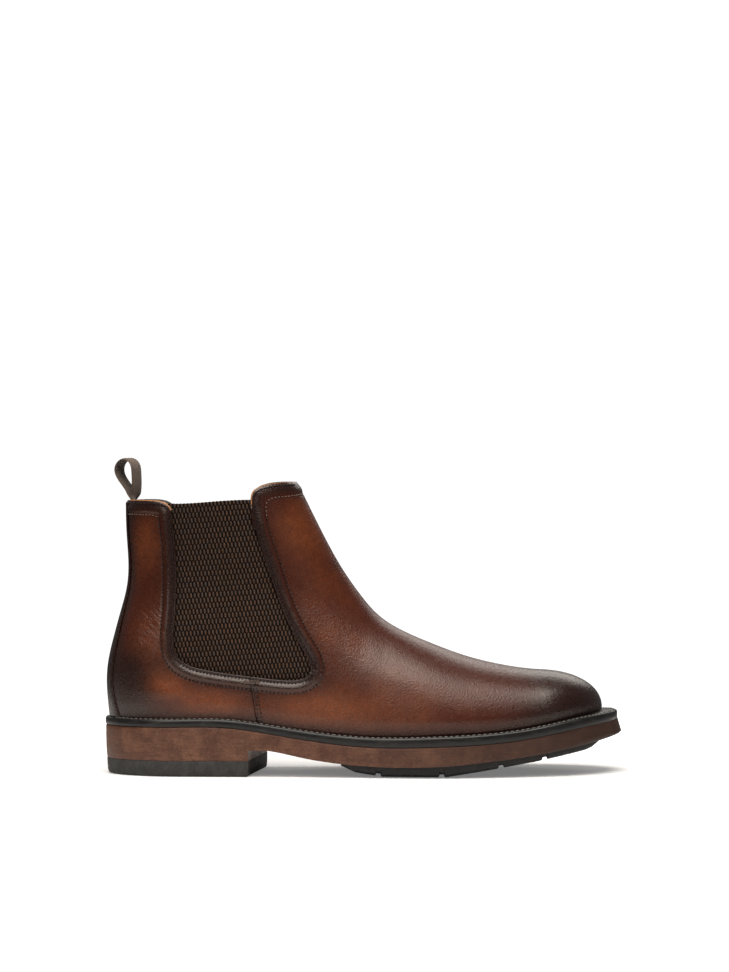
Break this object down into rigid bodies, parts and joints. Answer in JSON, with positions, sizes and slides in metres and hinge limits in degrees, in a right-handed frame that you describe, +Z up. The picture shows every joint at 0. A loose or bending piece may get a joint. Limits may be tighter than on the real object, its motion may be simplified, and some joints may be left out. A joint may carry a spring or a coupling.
{
  "type": "chelsea boot",
  "caption": "Ankle-high leather boot with elastic side gores, a webbing pull tab at the back, a welted sole and a low stacked heel; right foot.",
  "frame": {"origin": "centre of the heel's flat underside, on the ground", "axes": "+X towards the toe, +Z up, -Y towards the outer (lateral) side of the foot"},
  "size_m": [0.3076, 0.1083, 0.1881],
  "materials": {
    "leather": "satin cognac leather, burnished dark at the toe and heel",
    "burnished_leather": "satin dark brown leather",
    "elastic": "woven brown and black elastic",
    "lining": "dark grey textile",
    "stiffener": "raw stiffener sheet",
    "insole_board": "raw leather board",
    "welt": "black waxed strip",
    "sole": "stained brown edge with a fine grain",
    "rubber": "matt black rubber",
    "cork": "ground cork",
    "steel": "bare steel",
    "webbing": "brown twill webbing"
  },
  "bodies": {
    "boot": {"vamp": "leather", "quarter_lateral": "leather", "quarter_medial": "leather", "backstay": "burnished_leather", "gore_lateral": "elastic", "gore_medial": "elastic", "lining_vamp": "lining", "lining_quarter": "lining", "toe_puff": "stiffener", "heel_counter": "stiffener", "sock_liner": "lining", "insole_board": "insole_board", "cork_filler": "cork", "shank": "steel", "welt": "welt", "midsole": "sole", "heel_lift": "sole", "heel_top_piece": "rubber", "forepart_tread": "rubber", "heel_nail_1": "steel", "heel_nail_2": "steel", "heel_nail_3": "steel", "heel_nail_4": "steel", "heel_nail_5": "steel", "pull_tab_tail": "webbing"},
    "tab": {"pull_tab": "webbing"}
  },
  "joints": [
    {"name": "pull_tab_tip", "type": "hinge", "parent": "boot", "child": "tab", "pos_m": [-0.0258, 0, 0.1647], "axis": [0, 1, 0], "range_deg": [-40, 70]}
  ]
}
